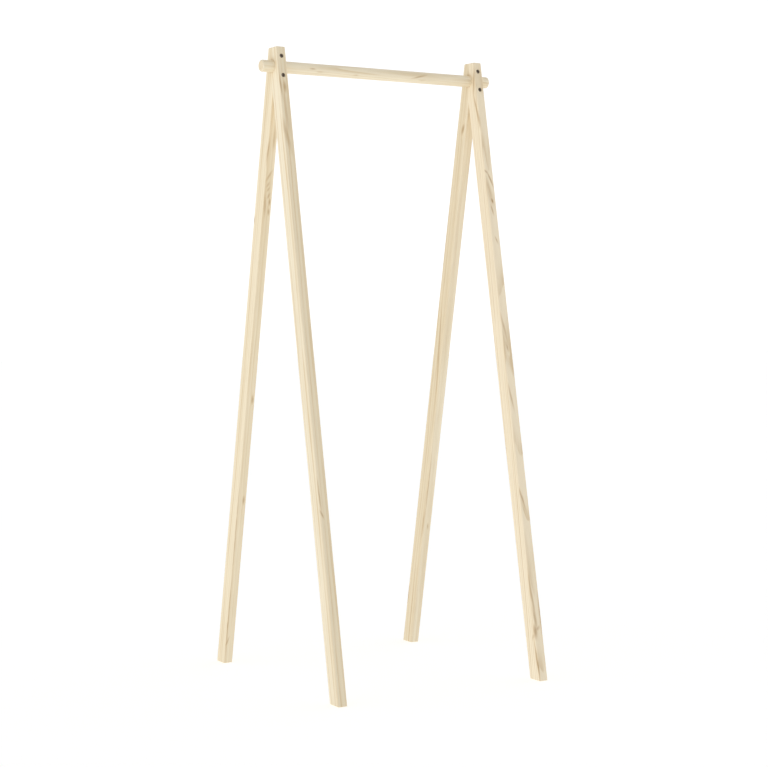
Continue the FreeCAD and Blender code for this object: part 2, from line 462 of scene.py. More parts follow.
    def honey_tone(self, nodes: BarNodes, radius: NodeSocket) -> Node:
        """Finds where the wood is a shade darker: in long patches, and in the heartwood.

        Args:
            nodes: The board's nodes.
            radius: The socket that gives the radius from the pith.

        Returns:
            The node that gives the honey tone from 0 to 1.
        """
        patches = nodes.add(
            "ShaderNodeMapRange",
            {0: nodes.stretched_noise(self.HONEY), **self.HONEY_RAMP, "To Max": self.honey},
            interpolation_type="SMOOTHSTEP",
        )
        heart = nodes.add(
            "ShaderNodeMapRange",
            {
                0: radius,
                "From Min": self.heartwood - self.HEART_EDGE,
                "From Max": self.heartwood + self.HEART_EDGE,
                "To Min": self.heart_tone,
                "To Max": 0.0,
            },
            interpolation_type="SMOOTHSTEP",
        )
        return nodes.add("ShaderNodeMath", {0: patches, 1: heart}, operation="MAXIMUM")

    def ground(self, nodes: BarNodes, late: Node, fibre: Node, honey: Node) -> NodeSocket:
        """Colours the clear wood.

        Args:
            nodes: The board's nodes.
            late: The node that gives the late wood.
            fibre: The node that gives the fibre.
            honey: The node that gives the honey tone.

        Returns:
            The socket that gives the colour.
        """
        tones = {0: honey, MIX_A: linear(self.early_colour), MIX_B: linear(self.honey_colour)}
        toned = nodes.add("ShaderNodeMix", tones, data_type="RGBA").outputs[MIX_RESULT]
        lined = {0: late, MIX_A: toned, MIX_B: linear(self.late_colour)}
        lines = nodes.add("ShaderNodeMix", lined, data_type="RGBA").outputs[MIX_RESULT]
        value = nodes.add("ShaderNodeMapRange", {0: fibre, **self.FIBRE_VALUE})
        return nodes.add("ShaderNodeHueSaturation", {"Value": value, "Color": lines}).outputs["Color"]

    def stained_and_shaded(self, nodes: BarNodes, colour: NodeSocket, stain_and_shade: Node | float) -> NodeSocket:
        """Stains the wood at knots and streaks, and paints shade at the marks that stand for shade: brown at
        the heart of each, with a warm halo.

        Args:
            nodes: The board's nodes.
            colour: The socket that gives the colour of the clear wood.
            stain_and_shade: What gives the brown of the knots and the painted shade, from 0 to 1.

        Returns:
            The socket that gives the colour.
        """
        warm = {0: stain_and_shade, MIX_A: colour, MIX_B: linear(self.halo_colour)}
        halo = nodes.add("ShaderNodeMix", warm, data_type="RGBA").outputs[MIX_RESULT]
        deep = nodes.add("ShaderNodeMath", {0: stain_and_shade, 1: self.STAIN_POWER}, operation="POWER")
        brown = {0: deep, MIX_A: halo, MIX_B: linear(self.stain_colour)}
        return nodes.add("ShaderNodeMix", brown, data_type="RGBA").outputs[MIX_RESULT]

    def end_grain(self, nodes: BarNodes, bar: BarPlace, colour: NodeSocket) -> NodeSocket:
        """Darkens the sawn ends, where the fibres stand open.

        Args:
            nodes: The board's nodes.
            bar: Where the bar lies.
            colour: The socket that gives the colour of the long faces.

        Returns:
            The socket that gives the colour.
        """
        length_way = bar.turn.to_matrix().transposed() @ Vector((0.0, 0.0, 1.0))
        normal = nodes.add("ShaderNodeNewGeometry", {}).outputs["Normal"]
        facing = nodes.add("ShaderNodeVectorMath", {0: normal, 1: length_way}, operation="DOT_PRODUCT")
        amount = nodes.add("ShaderNodeMath", {0: facing.outputs["Value"]}, operation="ABSOLUTE")
        share = nodes.add(
            "ShaderNodeMapRange", {0: amount, **self.END_RAMP}, interpolation_type="SMOOTHSTEP"
        )
        sawn = {0: share, MIX_A: colour, MIX_B: linear(self.end_colour)}
        return nodes.add("ShaderNodeMix", sawn, data_type="RGBA").outputs[MIX_RESULT]


@dataclass(frozen=True)
class MottledMetal:
    """A metal whose finish passes in small patches from one tone and gloss to another."""

    METALLIC = 1.0
    BUMP_HEIGHT = 0.02

    name: str
    colour: str
    patch_colour: str
    patch_width: float
    patch_layers: float  # how many finer layers lie on the patches
    patch_ramp: Ramp  # from the noise to the share of the patch colour
    roughness_ramp: Ramp  # from the noise to the roughness
    bump: float

    def material(self) -> Material:
        """Builds the material.

        Returns:
            The material.
        """
        material = new_material(self.name)
        tree = material.node_tree
        coordinates = add_node(tree, "ShaderNodeTexCoord", {}).outputs["Object"]
        scale = 1 / (self.patch_width * MM)
        spread = {"Vector": coordinates, "Scale": scale, "Detail": self.patch_layers}
        patches = add_node(tree, "ShaderNodeTexNoise", spread)
        share = add_node(tree, "ShaderNodeMapRange", {0: patches, **self.patch_ramp})
        tones = {0: share, MIX_A: linear(self.colour), MIX_B: linear(self.patch_colour)}
        raised = {"Strength": self.bump, "Distance": self.BUMP_HEIGHT * MM, "Height": patches}
        shader = add_node(
            tree,
            "ShaderNodeBsdfPrincipled",
            {
                "Base Color": add_node(tree, "ShaderNodeMix", tones, data_type="RGBA").outputs[MIX_RESULT],
                "Metallic": self.METALLIC,
                "Roughness": add_node(tree, "ShaderNodeMapRange", {0: patches, **self.roughness_ramp}),
                "Normal": add_node(tree, "ShaderNodeBump", raised),
            },
        )
        add_node(tree, "ShaderNodeOutputMaterial", {"Surface": shader})
        return material


# Machined steel with a black oxide finish. It gives the eye a dark brown grey with a satin gloss, a little
# mottled, because the oxide is thin and takes up oil unevenly.
BLACK_OXIDE_STEEL = MottledMetal(
    name="black_oxide_steel",
    colour="#6E6358",
    patch_colour="#8E8173",
    patch_width=1.2,
    patch_layers=4.0,
    patch_ramp={"From Min": 0.45, "From Max": 0.8},
    roughness_ramp={"To Min": 0.5, "To Max": 0.32},
    bump=0.3,
)

# Zinc-plated steel. It gives the eye a pale grey metal with a faint warm cast in patches and a soft,
# slightly clouded gloss.
ZINC_PLATED_STEEL = MottledMetal(
    name="zinc_plated_steel",
    colour="#B4B6B4",
    patch_colour="#BFB79B",
    patch_width=2.5,
    patch_layers=3.0,
    patch_ramp={"From Min": 0.0, "From Max": 1.0},
    roughness_ramp={"To Min": 0.28, "To Max": 0.45},
    bump=0.2,
)


def nodes_at(level: Level, kind: str) -> list[str]:
    """Names the construction's nodes of one kind at one level, from left to right."""
    return [f"{side.value}_{level.value}_{kind}" for side in Side]


def place_label(level: Level, side: Side) -> str:
    """Names the input for one fastener's place."""
    return f"{level.name} {side.name}".title()


def fastener_places(kind: str) -> Sizes:
    """Finds the middle of the front end of each bolt or insert.

    Args:
        kind: The last word in the names of the construction's nodes.

    Returns:
        The places, by the names of their inputs.
    """
    places: Sizes = {}
    for level in Level:
        for side, node in zip(Side, nodes_at(level, kind)):
            low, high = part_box(node)
            places[place_label(level, side)] = Vector(((low.x + high.x) / 2, low.y, (low.z + high.z) / 2))
    return places


class NodeShape:
    """A Geometry Nodes tree with named inputs that is run once and leaves a plain mesh."""

    SOCKETS = {
        float: "NodeSocketFloat",
        int: "NodeSocketInt",
        Vector: "NodeSocketVector",
        Material: "NodeSocketMaterial",
    }
    FINISH = "Finish"
    CREST = 0.5  # share of a ridge's width at which it is highest
    REARWARDS = Euler((-math.pi / 2, 0.0, 0.0))  # lays what stands along Z along +Y

    def __init__(self, name: str, sizes: Sizes, finish: Material) -> None:
        """Makes the tree with an input for each size and one for the finish.

        Args:
            name: The name of the tree and of the piece.
            sizes: The value of each named input.
            finish: The piece's material.
        """
        self.name = name
        self.values = {**sizes, self.FINISH: finish}
        self.tree = bpy.data.node_groups.new(name, "GeometryNodeTree")
        for label, value in self.values.items():
            self.tree.interface.new_socket(label, in_out="INPUT", socket_type=self.SOCKETS[type(value)])
        self.tree.interface.new_socket("Geometry", in_out="OUTPUT", socket_type="NodeSocketGeometry")
        self.inputs = self.add("NodeGroupInput", {}).outputs

    def add(self, kind: str, inputs: dict[str | int, Any], **settings: Any) -> Node:
        """Adds a node to the tree, as add_node does."""
        return add_node(self.tree, kind, inputs, **settings)

    def ridged_cylinder(
        self, radius: str, length: str, sides: str, rings: str, depth: str, ridges: str, turns: str
    ) -> Node:
        """Adds a closed cylinder on Z = 0 with ridges round its side: upright as a knurl, or as a thread.

        Args:
            radius: The input for the radius over the ridges.
            length: The input for the length.
            sides: The input for the number of points round it.
            rings: The input for the number of steps along it.
            depth: The input for the depth of the ridges.
            ridges: The input for the number of ridges side by side round it.
            turns: The input for the turns that a ridge makes along the length.

        Returns:
            The node that gives the cylinder.
        """
        inputs = self.inputs
        cylinder = self.add(
            "GeometryNodeMeshCylinder",
            {
                "Vertices": inputs[sides],
                "Side Segments": inputs[rings],
                "Radius": inputs[radius],
                "Depth": inputs[length],
            },
        )
        half = self.add("ShaderNodeMath", {0: inputs[length], 1: 0.5}, operation="MULTIPLY")
        lift = self.add("ShaderNodeCombineXYZ", {"Z": half})
        stood = self.add("GeometryNodeTransform", {"Geometry": cylinder, "Translation": lift})

        place = self.add("GeometryNodeInputPosition", {})
        parts = self.add("ShaderNodeSeparateXYZ", {0: place}).outputs
        angle = self.add("ShaderNodeMath", {0: parts["Y"], 1: parts["X"]}, operation="ARCTAN2")
        round_share = self.add("ShaderNodeMath", {0: angle, 1: math.tau}, operation="DIVIDE")
        around = self.add("ShaderNodeMath", {0: round_share, 1: inputs[ridges]}, operation="MULTIPLY")
        height_share = self.add("ShaderNodeMath", {0: parts["Z"], 1: inputs[length]}, operation="DIVIDE")
        climb = self.add("ShaderNodeMath", {0: height_share, 1: inputs[turns]}, operation="MULTIPLY")
        phase = self.add("ShaderNodeMath", {0: around, 1: climb}, operation="SUBTRACT")
        ridge = self.add("ShaderNodeMath", {0: phase, 1: self.CREST}, operation="PINGPONG")
        depth_share = self.add("ShaderNodeMath", {0: inputs[depth], 1: inputs[radius]}, operation="DIVIDE")
        floor = self.add("ShaderNodeMath", {0: 1.0, 1: depth_share}, operation="SUBTRACT")
        shrink = self.add("ShaderNodeMapRange", {0: ridge, "From Max": self.CREST, "To Min": floor})
        factors = self.add("ShaderNodeCombineXYZ", {"X": shrink, "Y": shrink, "Z": 1.0})
        moved = self.add("ShaderNodeVectorMath", {0: place, 1: factors}, operation="MULTIPLY")
        return self.add("GeometryNodeSetPosition", {"Geometry": stood, "Position": moved})

    def in_both_frames(self, fastener: Node, level: Level) -> Node:
        """Adds a fastener in each frame at one level.

        Args:
            fastener: The node that gives it, its front end on Z = 0.
            level: Above or below the rail.

        Returns:
            The node that gives the two.
        """
        left, right = (self.inputs[place_label(level, side)] for side in Side)
        line = {"Count": len(Side), "Start Location": left, "Offset": right}
        places = self.add("GeometryNodeMeshLine", line, mode="END_POINTS")
        copies = {"Points": places, "Instance": fastener, "Rotation": self.REARWARDS}
        return self.add("GeometryNodeInstanceOnPoints", copies)

    def piece(self, parts: list[Node]) -> Object:
        """Ends the tree, runs it and keeps its result as a plain mesh.

        Args:
            parts: The nodes that give the parts of the finished shape.

        Returns:
            The piece, with no modifier left on it.
        """
        joined = self.add("GeometryNodeJoinGeometry", {})
        for part in parts:
            self.tree.links.new(part.outputs[0], joined.inputs[0])
        realized = self.add("GeometryNodeRealizeInstances", {"Geometry": joined})
        finish = self.inputs[self.FINISH]
        dressed = self.add("GeometryNodeSetMaterial", {"Geometry": realized, "Material": finish})
        self.add("NodeGroupOutput", {"Geometry": dressed})

        piece = bpy.data.objects.new(self.name, bpy.data.meshes.new(self.name))
        bpy.context.scene.collection.objects.link(piece)
        modifier = piece.modifiers.new(self.name, "NODES")
        modifier.node_group = self.tree
        for item in self.tree.interface.items_tree:
            if item.in_out == "INPUT":
                modifier[item.identifier] = self.values[item.name]
        graph = bpy.context.evaluated_depsgraph_get()
        mesh = bpy.data.meshes.new_from_object(piece.evaluated_get(graph))
        piece.modifiers.clear()
        piece.data = mesh
        return piece


@dataclass(frozen=True)
class LeaningFrame:
    """One A-frame: a front and a rear leg that meet at the top."""

    side: Side
    boards: dict[End, PlanedPine]
    section: float = 48.0
    painted_shade_reach: float = 15.0  # of the painted shade round the rail, where the rail meets the leg's side faces
    painted_shade_lift: float = 3.0  # above the rail's middle, as the light comes mostly from below and the rail shades the face above it
    painted_shade: float = 0.8  # strength of that painted shade

    def bar_place(self, end: End) -> BarPlace:
        """Works out where a leg lies from its box.

        Args:
            end: Which leg.

        Returns:
            The middle of its foot and its turn.
        """
        low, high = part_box(self.node(end))
        height = high.z - low.z
        spread = high.y - low.y
        section = self.section * MM
        lean = math.acos(section / 2 / math.hypot(spread, height)) - math.atan2(height, spread)
        outer = low.y if end is End.FRONT else high.y
        foot = Vector(((low.x + high.x) / 2, outer + end.value * section / math.cos(lean) / 2, low.z))
        return BarPlace(foot, Euler((end.value * lean, 0.0, 0.0)))

    def rail_painted_shade(self, bar: BarPlace) -> tuple[GrainMark, ...]:
        """Works out the marks of painted shade that darken a leg's side faces where the rail comes out of
        them.

        Args:
            bar: Where the leg lies.

        Returns:
            A mark on each side face.
        """
        low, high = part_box(HangingRail.node)
        middle = Vector((bar.foot.x, (low.y + high.y) / 2, (low.z + high.z) / 2))
        place = bar.turn.to_matrix() @ (middle - bar.foot) / MM
        along = place.z + self.painted_shade_lift
        return tuple(
            GrainMark(face, place.y, along, self.painted_shade_reach, self.painted_shade_reach, stain_and_shade=self.painted_shade)
            for face in (Face.LEFT, Face.RIGHT)
        )

    def node(self, end: End) -> str:
        """Names the construction's node for a leg."""
        return f"{self.side.value}_{end.name.lower()}_leg"

    def build(self) -> list[Object]:
        """Dresses both legs.

        Returns:
            The legs.
        """
        legs = []
        for end, board in self.boards.items():
            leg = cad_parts[self.node(end)]
            bar = self.bar_place(end)
            # The marks round the rail are painted shade where the rail meets the leg, added to the board's
            # knots and streaks.
            used = replace(board, marks=board.marks + self.rail_painted_shade(bar))
            leg.material_slots[0].material = used.material(bar)
            legs.append(leg)
        return legs


@dataclass(frozen=True)
class HangingRail:
    """The round rail that is clamped between the legs of both frames."""

    board: PlanedPine
    node: str = "hanging_rail"

    def build(self) -> list[Object]:
        """Dresses the rail, with its grain along X.

        Returns:
            The rail.
        """
        low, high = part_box(self.node)
        foot = Vector((low.x, (low.y + high.y) / 2, (low.z + high.z) / 2))
        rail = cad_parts[self.node]
        bar = BarPlace(foot, Euler((0.0, -math.pi / 2, 0.0)))
        rail.material_slots[0].material = self.board.material(bar)
        return [rail]


@dataclass(frozen=True)
class SocketBolts:
    """Four socket head bolts, one above and one below the rail in each frame."""

    finish: MottledMetal = BLACK_OXIDE_STEEL
    name: str = "socket_head_bolts"
    head_height: float = 6.0
    head_rings: int = 10  # one ring is the chamfer round the head's face
    chamfer: float = 0.6
    knurls: int = 36
    knurl_depth: float = 0.25
    socket_width: float = 5.0
    socket_depth: float = 3.0
    socket_sides: int = 6
    shank_diameter: float = 6.0
    shank_sides: int = 32
    thread_pitch: float = 1.0
    thread_depth: float = 0.5
    thread_starts: int = 1
    steps_per_turn: int = 4  # of a thread along the shank, and for each knurl round the head

    def build(self) -> list[Object]:
        """Models the bolts at their places.

        Returns:
            The one piece that holds all four.
        """
        low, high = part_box(nodes_at(Level.UPPER, "bolt")[0])
        sizes: Sizes = {
            "Head Radius": (high.x - low.x) / 2,
            "Head Height": self.head_height * MM,
            "Head Sides": self.knurls * self.steps_per_turn,
            "Head Rings": self.head_rings,
            "Knurls": self.knurls,
            "Knurl Depth": self.knurl_depth * MM,
            "Knurl Turns": 0.0,
            "Chamfer": self.chamfer * MM,
            "Socket Radius": self.socket_width / math.sqrt(3) * MM,
            "Socket Depth": self.socket_depth * MM,
            "Socket Sides": self.socket_sides,
            "Shank Radius": self.shank_diameter / 2 * MM,
            "Shank Sides": self.shank_sides,
            "Thread Depth": self.thread_depth * MM,
            "Thread Starts": self.thread_starts,
            **fastener_places("bolt"),
        }
        for level in Level:
            sizes.update(self.level_sizes(level))
        shape = NodeShape(self.name, sizes, self.finish.material())
        head = self.head(shape)
        piece = shape.piece([shape.in_both_frames(self.bolt(shape, head, level), level) for level in Level])
        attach(piece, BODY)
        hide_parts(*(node for level in Level for node in nodes_at(level, "bolt")))
        return [piece]

    def level_sizes(self, level: Level) -> Sizes:
        """Reads the length of one level's bolts from the construction.

        Args:
            level: Above or below the rail.

        Returns:
            The values of the inputs for that level.
        """
        low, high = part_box(nodes_at(level, "bolt")[-1])
        length = high.y - low.y
        label = level.name.title()
        turns = length / (self.thread_pitch * MM)
        return {
            f"{label} Length": length,
            f"{label} Turns": turns,
            f"{label} Rings": round(turns) * self.steps_per_turn,
        }

    def head(self, shape: NodeShape) -> Node:
        """Adds the knurled head with its chamfered face and hexagon socket.

        Args:
            shape: The shape that the bolts are made in.

        Returns:
            The node that gives the head, its face on Z = 0.
        """
        inputs = shape.inputs
        knurled = shape.ridged_cylinder(
            "Head Radius", "Head Height", "Head Sides", "Head Rings", "Knurl Depth", "Knurls", "Knurl Turns"
        )
        place = shape.add("GeometryNodeInputPosition", {})
        height = shape.add("ShaderNodeSeparateXYZ", {0: place}).outputs["Z"]
        low_down = {"A": height, "B": self.chamfer / 2 * MM}
        on_face = shape.add("FunctionNodeCompare", low_down, operation="LESS_THAN")
        drawn_back = {0: inputs["Head Radius"], 1: inputs["Chamfer"]}
        kept = shape.add("ShaderNodeMath", drawn_back, operation="SUBTRACT")
        flat = shape.add("ShaderNodeVectorMath", {0: place, 1: LEVEL_PART}, operation="MULTIPLY")
        way = shape.add("ShaderNodeVectorMath", {0: flat}, operation="NORMALIZE")
        rim = shape.add("ShaderNodeVectorMath", {0: way, "Scale": kept}, operation="SCALE")
        drawn_in = {"Geometry": knurled, "Selection": on_face, "Position": rim}
        chamfered = shape.add("GeometryNodeSetPosition", drawn_in)
        # Half of the key stands out of the face, so it is twice as long as the socket is deep.
        double = shape.add("ShaderNodeMath", {0: inputs["Socket Depth"], 1: 2.0}, operation="MULTIPLY")
        key = shape.add(
            "GeometryNodeMeshCylinder",
            {"Vertices": inputs["Socket Sides"], "Radius": inputs["Socket Radius"], "Depth": double},
        )
        cut = {"Mesh 1": chamfered, "Mesh 2": key}
        return shape.add("GeometryNodeMeshBoolean", cut, operation="DIFFERENCE")

    def bolt(self, shape: NodeShape, head: Node, level: Level) -> Node:
        """Adds a bolt of one level's length.

        Args:
            shape: The shape that the bolts are made in.
            head: The node that gives a head.
            level: Above or below the rail.

        Returns:
            The node that gives the bolt, the face of its head on Z = 0.
        """
        inputs = shape.inputs
        label = level.name.title()
        rod = shape.ridged_cylinder(
            "Shank Radius",
            f"{label} Length",
            "Shank Sides",
            f"{label} Rings",
            "Thread Depth",
            "Thread Starts",
            f"{label} Turns",
        )
        # The rod runs through the head, so the part of it that would fill the socket is cut away first.
        depths = {0: inputs["Head Height"], 1: inputs["Socket Depth"]}
        under = shape.add("ShaderNodeMath", depths, operation="ADD")
        block = shape.add("GeometryNodeMeshCylinder", {"Radius": inputs["Head Radius"], "Depth": under})
        cut = {"Mesh 1": rod, "Mesh 2": block}
        shank = shape.add("GeometryNodeMeshBoolean", cut, operation="DIFFERENCE")
        bolt = shape.add("GeometryNodeMeshBoolean", {"Mesh 2": head}, operation="UNION")
        shape.tree.links.new(shank.outputs[0], bolt.inputs["Mesh 2"])
        return bolt


@dataclass(frozen=True)
class ThreadedInserts:
    """Four threaded inserts, set in the meeting faces of the rear legs."""

    BORE_LENGTHS = 4.0  # how many times as long as the insert the bore's cutter is, to pass right through

    finish: MottledMetal = ZINC_PLATED_STEEL
    name: str = "threaded_inserts"
    bore: float = 6.1
    sides: int = 32
    outer_pitch: float = 2.6
    outer_depth: float = 0.8
    outer_starts: int = 1
    steps_per_turn: int = 6

    def build(self) -> list[Object]:
        """Models the inserts at their places.

        Returns:
            The one piece that holds all four.
        """
        low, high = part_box(nodes_at(Level.UPPER, "insert")[0])
        length = high.y - low.y
        turns = length / (self.outer_pitch * MM)
        sizes: Sizes = {
            "Outer Radius": (high.x - low.x) / 2,
            "Length": length,
            "Sides": self.sides,
            "Rings": round(turns) * self.steps_per_turn,
            "Ridge Depth": self.outer_depth * MM,
            "Starts": self.outer_starts,
            "Turns": turns,
            "Bore Radius": self.bore / 2 * MM,
            **fastener_places("insert"),
        }
        shape = NodeShape(self.name, sizes, self.finish.material())
        sleeve = self.sleeve(shape)
        piece = shape.piece([shape.in_both_frames(sleeve, level) for level in Level])
        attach(piece, BODY)
        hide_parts(*(node for level in Level for node in nodes_at(level, "insert")))
        return [piece]

    def sleeve(self, shape: NodeShape) -> Node:
        """Adds one insert: a sleeve with a coarse outer thread.

        Args:
            shape: The shape that the inserts are made in.

        Returns:
            The node that gives the sleeve, its mouth on Z = 0.
        """
        inputs = shape.inputs
        screw = shape.ridged_cylinder(
            "Outer Radius", "Length", "Sides", "Rings", "Ridge Depth", "Starts", "Turns"
        )
        overlong = {0: inputs["Length"], 1: self.BORE_LENGTHS}
        through = shape.add("ShaderNodeMath", overlong, operation="MULTIPLY")
        bore = shape.add(
            "GeometryNodeMeshCylinder",
            {"Vertices": inputs["Sides"], "Radius": inputs["Bore Radius"], "Depth": through},
        )
        cut = {"Mesh 1": screw, "Mesh 2": bore}
        return shape.add("GeometryNodeMeshBoolean", cut, operation="DIFFERENCE")


@dataclass(frozen=True)
class Studio:
    """A white sweep under soft light that comes mostly from the two sides and up from the floor."""

    camera_place: tuple[float, float, float] = (-2.6368, -4.4571, 1.0492)
    camera_yaw: float = 30.807  # degrees from +Y towards +X
    camera_pitch: float = -2.397  # degrees above the horizon
    lens: float = 84.32  # in millimetres, as the camera takes it
    sensor: float = 36.0  # in millimetres
    floor_size: float = 60.0
    floor_drop: float = 0.0002  # below the soles, so that they don't share a plane with it
    floor_colour: str = "#E7E7E7"  # takes the shadow of the soft light; its glow makes it white
    floor_glow: float = 0.478
    backdrop_lift: float = 0.1  # over white and for the camera alone, so that it is clear white to the edge
    light_below: float = 0.975
    light_above: float = 0.415
    light_sides: float = 0.61

    def build(self) -> None:
        """Sets the floor, the light, the camera and the view transform."""
        self.lay_floor()
        self.light()
        self.place_camera()
        bpy.context.scene.view_settings.view_transform = "Standard"

    def seen_ray(self, tree: NodeTree) -> Node:
        """Adds the nodes that tell what is seen, also by gloss or through glass, from what lights the rack.

        Args:
            tree: The tree of the floor or the world.

        Returns:
            The node that gives 1 for a seen ray and 0 for a lighting ray.
        """
        path = add_node(tree, "ShaderNodeLightPath", {}).outputs
        indirect = {0: path["Is Glossy Ray"], 1: path["Is Transmission Ray"]}
        mirrored = add_node(tree, "ShaderNodeMath", indirect, operation="MAXIMUM")
        return add_node(tree, "ShaderNodeMath", {0: path["Is Camera Ray"], 1: mirrored}, operation="MAXIMUM")

    def lay_floor(self) -> None:
        """Lays a plain pale floor that takes the shadow and lets the light from below through."""
        half = self.floor_size / 2
        mesh = bpy.data.meshes.new("studio_floor")
        outline = ((-half, -half), (half, -half), (half, half), (-half, half))
        corners = [(x, y, -self.floor_drop) for x, y in outline]
        mesh.from_pydata(corners, [], [range(len(corners))])
        floor = bpy.data.objects.new("studio_floor", mesh)
        bpy.context.scene.collection.objects.link(floor)
        floor.visible_diffuse = False
        floor.visible_shadow = False
        material = new_material("white_studio_floor")
        tree = material.node_tree
        lit = {0: self.seen_ray(tree), 1: self.floor_glow}
        glow = add_node(tree, "ShaderNodeMath", lit, operation="MULTIPLY")
        shader = add_node(
            tree,
            "ShaderNodeBsdfPrincipled",
            {
                "Base Color": linear(self.floor_colour),
                "Roughness": 1.0,
                "Specular IOR Level": 0.0,
                "Emission Color": WHITE,
                "Emission Strength": glow,
            },
        )
        add_node(tree, "ShaderNodeOutputMaterial", {"Surface": shader})
        mesh.materials.append(material)

    def light(self) -> None:
        """Lights the scene by the world: brighter from both sides, and from below rather than above."""
        world = bpy.data.worlds.new("soft_studio")
        world.use_nodes = True
        tree = world.node_tree
        tree.nodes.clear()
        way = add_node(tree, "ShaderNodeTexCoord", {}).outputs["Generated"]
        parts = add_node(tree, "ShaderNodeSeparateXYZ", {0: way}).outputs
        level = add_node(
            tree,
            "ShaderNodeMapRange",
            {
                0: parts["Z"],
                "From Min": -1.0,
                "From Max": 1.0,
                "To Min": self.light_below,
                "To Max": self.light_above,
            },
        )
        sideways = add_node(tree, "ShaderNodeMath", {0: parts["X"], 1: 2.0}, operation="POWER")
        strength = add_node(
            tree, "ShaderNodeMath", {0: sideways, 1: self.light_sides, 2: level}, operation="MULTIPLY_ADD"
        )
        soft = add_node(tree, "ShaderNodeBackground", {"Color": WHITE, "Strength": strength})
        camera = add_node(tree, "ShaderNodeLightPath", {}).outputs["Is Camera Ray"]
        lifted = {0: camera, 1: self.backdrop_lift, 2: 1.0}
        shown = add_node(tree, "ShaderNodeMath", lifted, operation="MULTIPLY_ADD")
        white = add_node(tree, "ShaderNodeBackground", {"Color": WHITE, "Strength": shown})
        both = add_node(tree, "ShaderNodeMixShader", {0: self.seen_ray(tree), 1: soft, 2: white})
        add_node(tree, "ShaderNodeOutputWorld", {"Surface": both})
        bpy.context.scene.world = world

    def place_camera(self) -> None:
        """Puts the camera where the photograph was taken from."""
        data = bpy.data.cameras.new("camera")
        data.lens = self.lens
        data.sensor_width = self.sensor
        data.sensor_fit = "HORIZONTAL"
        camera = bpy.data.objects.new("camera", data)
        camera.location = self.camera_place
        camera.rotation_euler = (math.radians(90 + self.camera_pitch), 0.0, -math.radians(self.camera_yaw))
        bpy.context.scene.collection.objects.link(camera)
        bpy.context.scene.camera = camera


LEFT_FRONT_BOARD = PlanedPine(
    name="planed_pine_left_front",
    pith=(62.0, -95.0),
    run_out=(0.4, -0.4),
    seed=3.0,
    heartwood=106.0,
    heart_tone=0.32,
    marks=(
        GrainMark(Face.NEAR, 1.0, 1684.0, 6.0, 15.0, stain_and_shade=0.4, bow=3.0),
        GrainMark(Face.NEAR, -11.0, 1690.0, 2.4, 32.0, slant=3.0, stain_and_shade=0.45),
        GrainMark(Face.NEAR, -1.0, 1610.0, 4.0, 60.0, slant=2.0, stain_and_shade=0.3),
        GrainMark(Face.NEAR, -7.0, 1550.0, 6.0, 48.0, slant=11.0, stain_and_shade=0.32),
        GrainMark(Face.NEAR, -12.0, 560.0, 2.2, 48.0, slant=3.0, stain_and_shade=0.4),
        GrainMark(Face.NEAR, -9.0, 506.0, 2.4, 12.0, slant=20.0, stain_and_shade=0.45),
        GrainMark(Face.FAR, 3.0, 1180.0, 4.0, 8.0, stain_and_shade=0.6, bow=4.0),
        GrainMark(Face.RIGHT, -6.0, 640.0, 3.0, 7.0, stain_and_shade=0.6, bow=4.0),
    ),
)

LEFT_REAR_BOARD = PlanedPine(
    name="planed_pine_left_rear",
    pith=(60.0, -80.0),
    run_out=(-0.4, 0.5),
    seed=11.0,
    early_colour="#F6E8CA",
    marks=(
        GrainMark(Face.NEAR, 4.0, 1552.0, 4.0, 30.0, stain_and_shade=0.3),
        GrainMark(Face.NEAR, -12.0, 1515.0, 2.8, 36.0, slant=-4.0, stain_and_shade=0.42),
        GrainMark(Face.NEAR, -2.0, 1450.0, 3.0, 15.0, slant=-29.0, stain_and_shade=0.36),
        GrainMark(Face.NEAR, -3.0, 1425.0, 2.8, 8.0, slant=-25.0, stain_and_shade=0.3),
        GrainMark(Face.NEAR, -1.0, 1412.0, 2.8, 7.0, slant=-33.0, stain_and_shade=0.3),
        GrainMark(Face.NEAR, 2.0, 1394.0, 2.8, 9.0, slant=-24.0, stain_and_shade=0.32),
        GrainMark(Face.NEAR, 6.0, 1377.0, 3.2, 8.0, stain_and_shade=0.45, bow=3.0),
        GrainMark(Face.NEAR, 6.0, 1349.0, 3.0, 9.0, stain_and_shade=0.42),
        GrainMark(Face.NEAR, -7.0, 1367.0, 3.2, 28.0, slant=4.0, stain_and_shade=0.35),
        GrainMark(Face.NEAR, 6.0, 806.0, 3.4, 12.0, stain_and_shade=0.4, bow=3.0),
        GrainMark(Face.NEAR, 5.0, 505.0, 3.4, 12.0, stain_and_shade=0.42, bow=3.0),
        GrainMark(Face.LEFT, 19.0, 1320.0, 3.4, 10.0, stain_and_shade=0.45, bow=3.0),
        GrainMark(Face.NEAR, -12.0, 420.0, 2.0, 115.0, stain_and_shade=0.4),
        GrainMark(Face.NEAR, -12.0, 130.0, 2.2, 105.0, stain_and_shade=0.5),
        GrainMark(Face.NEAR, -10.0, 68.0, 2.4, 17.0, slant=-20.0, stain_and_shade=0.45),
        GrainMark(Face.FAR, -5.0, 890.0, 3.5, 7.0, stain_and_shade=0.6, bow=4.0),
        GrainMark(Face.RIGHT, 4.0, 1120.0, 3.0, 8.0, stain_and_shade=0.55, bow=4.0),
    ),
)

